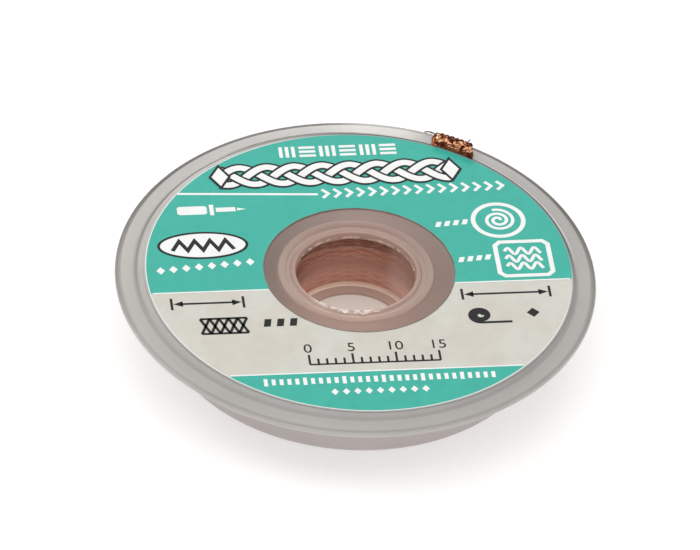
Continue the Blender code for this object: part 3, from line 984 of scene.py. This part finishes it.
bend_turns = [math.pi / 2 * step / BEND_PARTS for step in range(BEND_PARTS + 1)]
rise = [
    (BEND_RADIUS * (math.sin(turn) - 1), UNDER_RIM + BEND_RADIUS * (1 - math.cos(turn)))
    for turn in bend_turns
]
height = UNDER_RIM + BEND_RADIUS + FINE_STEP
while height < OVER_RIM - BEND_RADIUS:
    rise.append((0, height))
    height += FINE_STEP
rise += [
    (BEND_RADIUS * (1 - math.cos(turn)), OVER_RIM + BEND_RADIUS * (math.sin(turn) - 1))
    for turn in bend_turns
]
path += [
    station(NOTCH_TURN - run / TAIL_RADIUS, TAIL_RADIUS, height, math.pi / 2, NOTCH_SKEW)
    for run, height in rise
]
angle = NOTCH_TURN - bend - FINE_STEP / TAIL_RADIUS
while angle > TAIL_END:
    skew = NOTCH_SKEW * (1 - eased((NOTCH_TURN - bend - angle) * TAIL_RADIUS / STRAIGHTENS_OVER))
    path.append(station(angle, TAIL_RADIUS, OVER_RIM, math.pi / 2, skew))
    angle -= FINE_STEP / TAIL_RADIUS

stations = []
travel = 0.0
for count, (middle, across) in enumerate(path):
    before = path[max(count - 1, 0)][0]
    after = path[min(count + 1, len(path) - 1)][0]
    travel += (middle - before).length
    stations.append((travel, middle, across, (after - before).cross(across).normalized()))
print("free end:", round(travel, 1), "mm long,", len(stations), "stations")

# %% [markdown]
# A braid is woven from bobbins that run both ways round a ring, over one and under one. So each
# wire runs round a flat tube as it goes along the path, and its distance from the middle of the
# tube's wall is a cosine of its way round. The wires that go the other way have the opposite
# sign, and thus cross over and under. A few wires side by side make one strand. Random lifts
# and lengths keep it from looking machined, and a fixed seed gives the same braid each run.

# %% Wires of the free end
CARRIERS = 6
WIRES_A_CARRIER = 5
WIRE_RADIUS = 0.075
WEAVE_SWING = 0.13
LAY_LENGTH = 6.5
WIRE_SPACING = 0.105
FRAY_LENGTH = 0.25
WIRE_LIFT = 0.02
CUT_SLANT = 1.2

half_width = TAIL_WIDTH / 2 - WIRE_RADIUS - WEAVE_SWING
half_thick = TAIL_THICKNESS / 2 - WIRE_RADIUS - WEAVE_SWING
straight = 2 * (half_width - half_thick)
girth = 2 * straight + 2 * math.pi * half_thick


def round_the_tube(way):
    """The point and outward direction at a way round the flat tube, as (across, thick) pairs."""
    way %= girth
    for side in (1, -1):
        if way < straight:
            return (side * (straight / 2 - way), side * half_thick), (0, side)
        way -= straight
        if way < math.pi * half_thick:
            turn = way / half_thick
            out = (-side * math.sin(turn), side * math.cos(turn))
            return (-side * straight / 2 + out[0] * half_thick, out[1] * half_thick), out
        way -= math.pi * half_thick
    return (straight / 2, half_thick), (0, 1)


random.seed(7)
wires = []
for way_round in (1, -1):
    for carrier in range(CARRIERS):
        for wire in range(WIRES_A_CARRIER):
            offset = (wire - (WIRES_A_CARRIER - 1) / 2) * WIRE_SPACING
            fray = random.uniform(0, FRAY_LENGTH)
            lift = random.uniform(-WIRE_LIFT, WIRE_LIFT)
            line = []
            for gone, middle, across, thick in stations:
                way = girth * (carrier / CARRIERS + way_round * gone / LAY_LENGTH) + offset
                (sideways, upwards), out = round_the_tube(way)
                if gone > travel - fray - CUT_SLANT * (sideways / half_width + 1) / 2:
                    break
                phase = 2 * math.pi * gone / LAY_LENGTH
                swing = way_round * WEAVE_SWING * math.cos(CARRIERS * phase) + lift
                point = middle + across * (sideways + out[0] * swing)
                point += thick * (upwards + out[1] * swing)
                line.append(point * MM)
            wires.append(line)

draw_rods("braid_end", wires, WIRE_RADIUS, wire_copper, "braid")

# %% [markdown]
# Two things complete the free end. A few wires have sprung out of the cut and stand up, each a short line
# given by its turn, radius and height. And inside the tube a row of thick, dark rods fills the core, as
# painted shade: a dark fill where the inside of the braid lies in shadow, or one would see through the
# weave to the plastic below.

# %% Strays and core of the free end
strays = [
    [(71.2, 26.5, 8.95), (72.0, 26.73, 9.05), (72.9, 26.96, 9.0), (73.7, 27.05, 8.9), (74.8, 27.03, 8.75)],
    [(71.6, 26.8, 8.9), (72.6, 27.0, 8.95), (73.2, 27.0, 8.85)],
    [(64.2, 26.8, 8.95), (63.3, 27.15, 9.0), (63.24, 27.5, 9.05), (63.13, 27.72, 9.1)],
]
stray_lines = [[polar(*spot) for spot in stray] for stray in strays]
draw_rods("stray_wires", stray_lines, WIRE_RADIUS, near_black_finish, "braid")

CORE_WIRES = 9
CORE_MARGIN = 0.25
CORE_SHARE = 0.75
CORE_END = FRAY_LENGTH + 0.2

core_lines = []
for count in range(CORE_WIRES):
    sideways = (half_width - CORE_MARGIN) * (2 * count / (CORE_WIRES - 1) - 1)
    end = travel - CORE_END - CUT_SLANT * (sideways / half_width + 1) / 2
    core_lines.append([
        (middle + across * sideways) * MM
        for gone, middle, across, thick in stations
        if gone < end
    ])
draw_rods("braid_core", core_lines, half_thick * CORE_SHARE, near_black_finish, "braid")

# %% [markdown]
# Painted glints sit on the near lip of the bore. Each is a short, thin arc of the same bright plastic as
# the weld bead, half sunk in the lip, and stands for a highlight. The numbers are where an arc starts and
# ends, in degrees, and its radius.

# %% Painted glints on the near lip
LIP_SINK = 0.05
LIP_WANDER = 0.04
LIP_ROD = 0.09
lip_arcs = [
    (-126, -100, 7.25), (-112, -88, 7.45), (-98, -70, 7.22), (-90, -64, 7.48), (-96, -80, 7.12),
    (-104, -92, 7.62), (-84, -76, 7.66), (-118, -108, 7.12),
]
lip_lines = []
for begin, finish, radius in lip_arcs:
    line = []
    for degrees in range(begin, finish, 2):
        wander = radius + random.uniform(-LIP_WANDER, LIP_WANDER)
        line.append(polar(degrees, wander, COLLAR_TOP - LIP_SINK))
    lip_lines.append(line)
draw_rods("lip_shine", lip_lines, LIP_ROD, bead_plastic, "top_flange")

# %% [markdown]
# The label is a printed film ring, stuck on a little off centre and turned by nine degrees. Its inks need
# finishes first: pale film, teal, white and black, each with a faint mottle, as print has. The cut edge of
# the film and the white margin inside it get painted light on one side of the bobbin and painted shade on
# the other, so these two are told by the turn. The dark ring at the edge of the hole is painted shade.

# %% Inks and film
# Painted light and shade along the film's cut edge and white margin, by the turn.
EDGE_TURN_SPAN = [
    (-180, 0.2), (-150, 0.4), (-30, 0.4), (0, 0.6), (15, 0.95), (95, 0.95), (112, 0.3),
    (150, 0.1), (180, 0.2),
]
MARGIN_TURN_SPAN = [
    (-180, 0), (-15, 0), (12, 0.75), (70, 0.75), (95, 0.6), (120, 0.15), (180, 0),
]
MOTTLE_SIZE = 1.5 * MM
WEAR_SIZE = 9 * MM
FILM_WEAR = (0.98, 0.94, 0.93)


def make_print(name, light, dark, roughness, worn=(1, 1, 1)):
    """Printed ink or film with a faint mottle, and broad patches tinted by wear."""
    material, tree, shader = start_material(name)
    place = read_place(tree)
    mottle = cloud(tree, place, MOTTLE_SIZE, 5.0)
    tint = blend_colours(tree, ranged(tree, mottle, 0, 1, 0.3, 0.7), (*dark, 1), (*light, 1))
    broad = ranged(tree, cloud(tree, place, WEAR_SIZE), 0, 1, 0.45, 0.55)
    tint = blend_colours(tree, broad, tint, blend_colours(tree, 1.0, tint, (*worn, 1), "MULTIPLY"))
    paint(tree, shader, tint)
    tree.links.new(ranged(tree, mottle, roughness, roughness + 0.1), shader.inputs["Roughness"])
    shader.inputs["Specular IOR Level"].default_value = 0.25
    return material


def make_edge(name, light, dark, spans):
    """A rim painted from light to dark with the turn, as painted light and shade."""
    material, tree, shader = start_material(name)
    axes = read_axes(tree, read_place(tree))
    darkness = tone_ramp(tree, turn_of(tree, axes), spans, DEGREE)
    paint(tree, shader, blend_colours(tree, darkness, (*light, 1), (*dark, 1)))
    return material


film_print = make_print("label_film", (0.57, 0.565, 0.51), (0.53, 0.525, 0.47), 0.45, FILM_WEAR)
teal_print = make_print("teal_ink", (0.042, 0.395, 0.315), (0.035, 0.365, 0.29), 0.45)
white_print = make_print("white_ink", (0.80, 0.81, 0.80), (0.74, 0.75, 0.74), 0.45)
black_print = make_print("black_ink", (0.010, 0.010, 0.012), (0.006, 0.006, 0.007), 0.5)
# Painted shade: a dark ring along the edge of the hole.
hole_shade_print = make_print("hole_edge_shade", (0.24, 0.22, 0.20), (0.12, 0.105, 0.095), 0.6)
edge_shading_print = make_edge("cut_edge_light_and_shade", (0.50, 0.50, 0.48), (0.05, 0.05, 0.055), EDGE_TURN_SPAN)
margin_print = make_edge("white_margin", (0.77, 0.78, 0.77), (0.05, 0.13, 0.11), MARGIN_TURN_SPAN)
print("inks ready")

# %% [markdown]
# The film is turned like the mouldings. Each ink on it is a layer of its own, a few hundredths of
# a millimetre thick, drawn in the label's own frame and then turned and moved into place. The two
# teal fields are rings cut across: a bisect keeps one side of the cut and fills it.

# %% Label film
FILM_BOTTOM = 8.405
FILM_TOP = 8.46
INK_ROOT = 8.455
TEAL_TOP = 8.475
LABEL_TURN = math.radians(8.9)
LABEL_SHIFT = (0.37, 0.30)
LABEL_RADIUS = 24.8
LABEL_HOLE = 11.1
UPPER_SPLIT = -3.0
LOWER_SPLIT = -17.85


def lay_on_label(piece, material):
    """Turns a print with the label, moves it into place, and fixes both in its mesh."""
    piece.rotation_euler.z = LABEL_TURN
    piece.location = (LABEL_SHIFT[0] * MM, LABEL_SHIFT[1] * MM, 0)
    hold(piece)
    bpy.ops.object.transform_apply()
    piece.data.materials.append(material)
    join_root(piece, "label")


def turn_film(name, outer, inner, low, high):
    """A flat ring turned from a plain rectangle, between two radii and two heights in mm."""
    return turn_section(name, [(outer, low, 0), (outer, high, 0), (inner, high, 0), (inner, low, 0)])


film = turn_film("label_film", LABEL_RADIUS, LABEL_HOLE, FILM_BOTTOM, FILM_TOP)
lay_on_label(film, film_print)


def keep_side(piece, height, side):
    """Cuts a piece across at a height on the label and keeps the part above or below."""
    hold(piece)
    bpy.ops.object.mode_set(mode="EDIT")
    bpy.ops.mesh.select_all(action="SELECT")
    bpy.ops.mesh.bisect(
        plane_co=(0, height * MM, 0),
        plane_no=(0, side, 0),
        clear_inner=True,
        use_fill=True,
    )
    bpy.ops.object.mode_set(mode="OBJECT")
    bpy.ops.object.shade_smooth_by_angle(angle=SMOOTH_ANGLE)


TEAL_MARGIN = 0.12
HOLE_MARGIN = 0.03
EDGE_TOP = TEAL_TOP + 0.003

for name, split, side in (("teal_upper", UPPER_SPLIT, 1), ("teal_lower", LOWER_SPLIT, -1)):
    teal = turn_film(name, LABEL_RADIUS - TEAL_MARGIN, LABEL_HOLE + HOLE_MARGIN, INK_ROOT, TEAL_TOP)
    keep_side(teal, split, side)
    lay_on_label(teal, teal_print)
# The film's cut edge and white margin with painted light and shade, and the ring of painted shade at the
# hole.
for name, outer, inner, ink in (
    ("outer_edge", 25.0, 24.795, edge_shading_print),
    ("hole_edge_shade", 11.16, 11.06, hole_shade_print),
    ("white_edge", 24.79, 24.69, margin_print),
):
    edge = turn_film(name, outer, inner, FILM_BOTTOM, EDGE_TOP)
    lay_on_label(edge, ink)
print("label film, teal and cut edges laid")

# %% [markdown]
# A printer lays ink in two ways, as lines and as solid patches. Lines are curves with a thin flat
# section. Patches are filled flat curves, extruded by the height of the ink, and an outline
# inside another one is left open. Places are (u, v) pairs in mm, across and up on the label. The
# heights stack the inks, so that what is printed later lies on top and nothing shares a plane.

# %% Printing helpers
def print_strokes(name, lines, width, top, material, closed=False):
    """Printed lines of even width, through (u, v) points on the label in mm."""
    curve = draw_lines(name, [[(u * MM, v * MM, 0) for u, v in line] for line in lines], "2D", closed)
    across = width / 2 * MM
    outline = [
        (-across, INK_ROOT * MM),
        (across, INK_ROOT * MM),
        (across, top * MM),
        (-across, top * MM),
    ]
    piece = sweep(curve, outline)
    lay_on_label(piece, material)
    return piece


def print_patches(name, outlines, top, material):
    """Printed solid shapes. An outline inside another one is a hole."""
    curve = draw_lines(name, [[(u * MM, v * MM, 0) for u, v in line] for line in outlines], "2D", True)
    curve.data.fill_mode = "BOTH"
    curve.data.extrude = (top - INK_ROOT) / 2 * MM
    piece = make_mesh(curve)
    piece.location.z = (top + INK_ROOT) / 2 * MM
    hold(piece)
    bpy.ops.object.transform_apply()
    lay_on_label(piece, material)
    return piece


def box(u, v, width, height, slant=0.0):
    """Corners of an upright box by its middle, leaning by a slant."""
    return [
        (u - width / 2 - slant, v - height / 2),
        (u + width / 2 - slant, v - height / 2),
        (u + width / 2 + slant, v + height / 2),
        (u - width / 2 + slant, v + height / 2),
    ]


def oval(u, v, width, height, steps=64):
    """Points of an ellipse by its middle."""
    turns = [2 * math.pi * step / steps for step in range(steps)]
    return [(u + width / 2 * math.cos(turn), v + height / 2 * math.sin(turn)) for turn in turns]


def diamond(u, v, width, height):
    """Corners of a diamond by its middle: an oval in four steps."""
    return oval(u, v, width, height, 4)


def spiral(u, v, inner, outer, turns, steps=24):
    """Points of a spiral by its middle."""
    points = []
    for step in range(int(turns * steps) + 1):
        share = step / (turns * steps)
        radius = inner + (outer - inner) * share
        turn = 2 * math.pi * turns * share
        points.append((u + radius * math.cos(turn), v + radius * math.sin(turn)))
    return points


TIE_TOP = 8.53
WHITE_TOP = 8.49
LOW_OUTLINE_TOP = 8.486
LOW_STRAND_TOP = 8.497
HIGH_OUTLINE_TOP = 8.508
HIGH_STRAND_TOP = 8.52
BLACK_TOP = 8.475
print("printing helpers ready")

# %% [markdown]
# The largest ornament is a plait of three strands, a sign for braid. Each strand is a sine wave, a
# third of a period apart. A strand passes over at one crossing and under at the next, so its line
# is cut into pieces, and these go on two levels. Each piece is printed twice, wide in black and
# then narrow in white, which leaves a black outline. A diamond ties off each end.

# %% Plait at the top of the label
PLAIT_LEFT = -14.5
PLAIT_RIGHT = 12.9
PLAIT_HEIGHT = 17.6
PLAIT_SWING = 1.55
PLAIT_PERIOD = 9.8
STRAND_WIDTH = 0.95
OUTLINE_WIDTH = 1.55
PLAIT_STEP = 0.2
TIE_WIDTH = 2.3
TIE_HEIGHT = 4.0

low_lines = []
high_lines = []
count = int((PLAIT_RIGHT - PLAIT_LEFT) / PLAIT_STEP)
for strand in range(3):
    turns = [2 * math.pi * (step * PLAIT_STEP / PLAIT_PERIOD + strand / 3) for step in range(count + 1)]
    points = [
        (PLAIT_LEFT + step * PLAIT_STEP, PLAIT_HEIGHT + PLAIT_SWING * math.sin(turn))
        for step, turn in enumerate(turns)
    ]
    begin = 0
    for step in range(1, count + 1):
        above = math.sin(2 * turns[step - 1]) > 0
        if step == count or (math.sin(2 * turns[step]) > 0) != above:
            piece_points = points[max(begin - 1, 0):step + 2]
            (high_lines if above else low_lines).append(piece_points)
            begin = step

print_strokes("plait_outline_low", low_lines, OUTLINE_WIDTH, LOW_OUTLINE_TOP, black_print)
print_strokes("plait_low", low_lines, STRAND_WIDTH, LOW_STRAND_TOP, white_print)
print_strokes("plait_outline_high", high_lines, OUTLINE_WIDTH, HIGH_OUTLINE_TOP, black_print)
print_strokes("plait_high", high_lines, STRAND_WIDTH, HIGH_STRAND_TOP, white_print)
ties = [diamond(end, PLAIT_HEIGHT, TIE_WIDTH, TIE_HEIGHT) for end in (PLAIT_LEFT, PLAIT_RIGHT)]
print_patches("plait_ties", ties, TIE_TOP, white_print)
print_strokes("plait_tie_edges", ties, 0.3, TIE_TOP + 0.01, black_print, True)
print("plait strands:", len(low_lines), "low,", len(high_lines), "high")

# %% [markdown]
# White print on the teal. Above the plait lies a row of bars that stand and lie by turns, as
# threads do in cloth, and below it a rule and chevrons. Comprehensions repeat one shape along a
# row, which is how a designer would step and repeat it.

# %% White rows on the teal
weave = []
for square in range(6):
    u = -6.1 + square * 2.4
    for bar in (-0.75, 0.0, 0.75):
        if square % 2:
            weave.append(box(u, 21.8 + bar, 1.95, 0.42))
        else:
            weave.append(box(u + bar, 21.8, 0.42, 1.95))
print_patches("weave_row", weave, WHITE_TOP, white_print)

chevrons = [
    [(u - 0.35, 13.2 + 0.02 * u), (u + 0.35, 13.97 + 0.02 * u), (u - 0.35, 14.74 + 0.02 * u)]
    for u in [-2.4 + 1.38 * place for place in range(16)]
]
print_strokes("chevron_row", chevrons, 0.4, WHITE_TOP, white_print)
print_strokes("rule", [[(-19.75, 14.8), (-3.3, 13.85)]], 0.35, WHITE_TOP, white_print)

print("white rows laid:", len(weave), "bars,", len(chevrons), "chevrons")

# %% [markdown]
# Four signs say what the thing is for: a soldering iron in plain outline, a zigzag of wick in
# an oval, a coil in a ring, and waves of heat in a frame with cut corners. They are built from
# the same few shapes, a box, an oval and a spiral. Short rows of diamonds and dashes lie between.

# %% White signs on the teal
iron = [
    [
        (-20.1, 11.1), (-19.8, 10.9), (-16.9, 10.9), (-16.6, 11.1),
        (-16.6, 12.2), (-16.9, 12.4), (-19.8, 12.4), (-20.1, 12.2),
    ],
    box(-16.05, 11.65, 0.5, 1.9),
    box(-14.4, 11.65, 2.3, 0.75),
    [(-13.05, 11.4), (-12.0, 11.65), (-13.05, 11.9)],
]
print_patches("iron_sign", iron, WHITE_TOP, white_print)
print_patches("oval_field", [oval(-17.7, 5.3, 10.1, 4.4)], WHITE_TOP, white_print)
print_strokes("oval_edge", [oval(-17.7, 5.3, 10.3, 4.55)], 0.32, LOW_STRAND_TOP, black_print, True)
zigzag = [(-21.3 + 0.9 * peak, 5.3 + (0.85 if peak % 2 else -0.85)) for peak in range(9)]
print_strokes("oval_zigzag", [zigzag], 0.5, LOW_STRAND_TOP, black_print)
small_row = [diamond(-23.0 + 1.5 * place, 1.0 + 0.15 * place, 1.0, 1.3) for place in range(8)]
print_patches("small_diamonds", small_row, WHITE_TOP, white_print)
print_strokes("round_sign", [oval(17.3, 8.0, 5.9, 5.9)], 0.55, WHITE_TOP, white_print, True)
print_strokes("round_spiral", [spiral(17.3, 8.0, 0.25, 1.95, 2.3)], 0.4, WHITE_TOP, white_print)
dashes = [box(10.2 + 1.05 * place, 7.6 + 0.1 * place, 0.6, 0.9, 0.15) for place in range(4)]
dashes += [box(12.1 + 1.05 * place, 1.1 + 0.1 * place, 0.6, 0.9, 0.15) for place in range(4)]
print_patches("slanted_dashes", dashes, WHITE_TOP, white_print)
frame_outline = [
    (16.9, -2.1), (21.9, -2.1), (22.5, -1.5), (22.5, 3.4),
    (21.9, 4.0), (16.9, 4.0), (16.3, 3.4), (16.3, -1.5),
]
print_strokes("square_sign", [frame_outline], 0.55, WHITE_TOP, white_print, True)
waves = [
    [(17.3 + 0.105 * step, centre + 0.55 * math.sin(0.42 * step)) for step in range(41)]
    for centre in (-0.4, 0.95, 2.3)
]
print_strokes("square_waves", waves, 0.4, WHITE_TOP, white_print)
print("white signs laid")

# %% [markdown]
# White lines part the teal from the pale band, as a printer leaves a gap between two inks that
# might not meet. Below them, ticks and diamonds fill the lower field in two rows.

# %% Dividing lines and lower rows
splits = [
    [(-24.3, UPPER_SPLIT), (-10.85, UPPER_SPLIT)],
    [(10.85, UPPER_SPLIT), (24.3, UPPER_SPLIT)],
    [(-16.9, LOWER_SPLIT), (16.9, LOWER_SPLIT)],
]
print_strokes("split_lines", splits, 0.2, WHITE_TOP, white_print)
ticks = [box(-12.9 + 0.9 * place, -19.25, 0.45, 1.0 if place % 5 else 1.25) for place in range(30)]
dots = [diamond(-5.2 + 1.3 * place, -21.25, 0.85, 1.1) for place in range(9)]
print_patches("low_rows", ticks + dots, WHITE_TOP, white_print)
print("lower rows laid:", len(ticks), "ticks,", len(dots), "diamonds")

# %% [markdown]
# Black print on the pale band: two arrows between end marks, as on a drawing, a swatch of braid,
# a roll with its end pulled out, and a few plain marks.

# %% Black signs on the pale band
def arrow_head(u, v, way, length=1.1, height=1.0):
    """Corners of an arrow's head by its tip, pointing right or left."""
    return [(u, v), (u - way * length, v + height / 2), (u - way * length, v - height / 2)]


arrows = [
    [(-21.3, -5.0), (-15.0, -5.0)],
    [(-22.3, -6.0), (-22.3, -4.0)],
    [(-14.0, -6.0), (-14.0, -4.0)],
    [(11.4, -6.0), (11.4, -4.1)],
    [(12.4, -5.1), (20.6, -5.1)],
    [(21.6, -6.0), (21.6, -4.1)],
]
print_strokes("size_lines", arrows, 0.3, BLACK_TOP, black_print)
heads = [
    arrow_head(-22.1, -5.0, -1),
    arrow_head(-14.2, -5.0, 1),
    arrow_head(11.6, -5.1, -1),
    arrow_head(21.4, -5.1, 1),
]
print_patches("arrow_heads", heads, BLACK_TOP, black_print)

SWATCH_LEFT = -19.3
SWATCH_RIGHT = -13.9
SWATCH_LOW = -10.4
SWATCH_HIGH = -7.8
SWATCH_STEP = 1.08
strip = [
    [(SWATCH_LEFT, SWATCH_LOW), (SWATCH_RIGHT, SWATCH_LOW)],
    [(SWATCH_LEFT, SWATCH_HIGH), (SWATCH_RIGHT, SWATCH_HIGH)],
]
for cross in range(5):
    left = SWATCH_LEFT + SWATCH_STEP * cross
    strip.append([(left, SWATCH_LOW), (left + SWATCH_STEP, SWATCH_HIGH)])
    strip.append([(left, SWATCH_HIGH), (left + SWATCH_STEP, SWATCH_LOW)])
print_strokes("strip_sign", strip, 0.34, BLACK_TOP, black_print)
roll = spiral(13.0, -8.85, 0.3, 1.3, 2.75) + [(16.6, -10.15)]
print_strokes("roll_sign", [roll], 0.36, BLACK_TOP, black_print)
marks = [box(-11.6 + 1.5 * place, -8.85, 0.8, 1.3, 0.12) for place in range(3)]
marks += [diamond(19.2, -8.7, 1.5, 1.6)]
print_patches("black_marks", marks, BLACK_TOP, black_print)

print("black signs laid:", len(arrows) + len(heads) + len(marks))

# %% [markdown]
# A scale of fifteen millimetres, in true size, fills the middle of the band. Its numbers are text
# objects. A text is made a mesh before it is moved, or its place would be lost when the mesh is
# made, and the letters are extruded to the height of the ink, as the patches are.

# %% Scale on the pale band
SCALE_LEFT = -7.5
SCALE_FOOT = -16.4
LONG_TICK = 1.7
SHORT_TICK = 1.0
NUMBER_SIZE = 2.1
NUMBER_RISE = 2.1

scale_lines = [[(SCALE_LEFT, SCALE_FOOT), (SCALE_LEFT + 15, SCALE_FOOT)]]
for mark in range(16):
    tall = SHORT_TICK if mark % 5 else LONG_TICK
    scale_lines.append([(SCALE_LEFT + mark, SCALE_FOOT), (SCALE_LEFT + mark, SCALE_FOOT + tall)])
print_strokes("scale_lines", scale_lines, 0.26, BLACK_TOP, black_print)

for number in (0, 5, 10, 15):
    bpy.ops.object.select_all(action="DESELECT")
    bpy.ops.object.text_add()
    digits = bpy.context.object
    digits.name = f"scale_number_{number}"
    digits.data.body = str(number)
    digits.data.size = NUMBER_SIZE * MM
    digits.data.align_x = "CENTER"
    digits.data.extrude = (BLACK_TOP - INK_ROOT) / 2 * MM
    digits = make_mesh(digits)
    digits.location = (
        (SCALE_LEFT + number) * MM,
        (SCALE_FOOT + NUMBER_RISE) * MM,
        (BLACK_TOP + INK_ROOT) / 2 * MM,
    )
    hold(digits)
    bpy.ops.object.transform_apply()
    lay_on_label(digits, black_print)
print("scale laid:", len(scale_lines) - 1, "ticks")
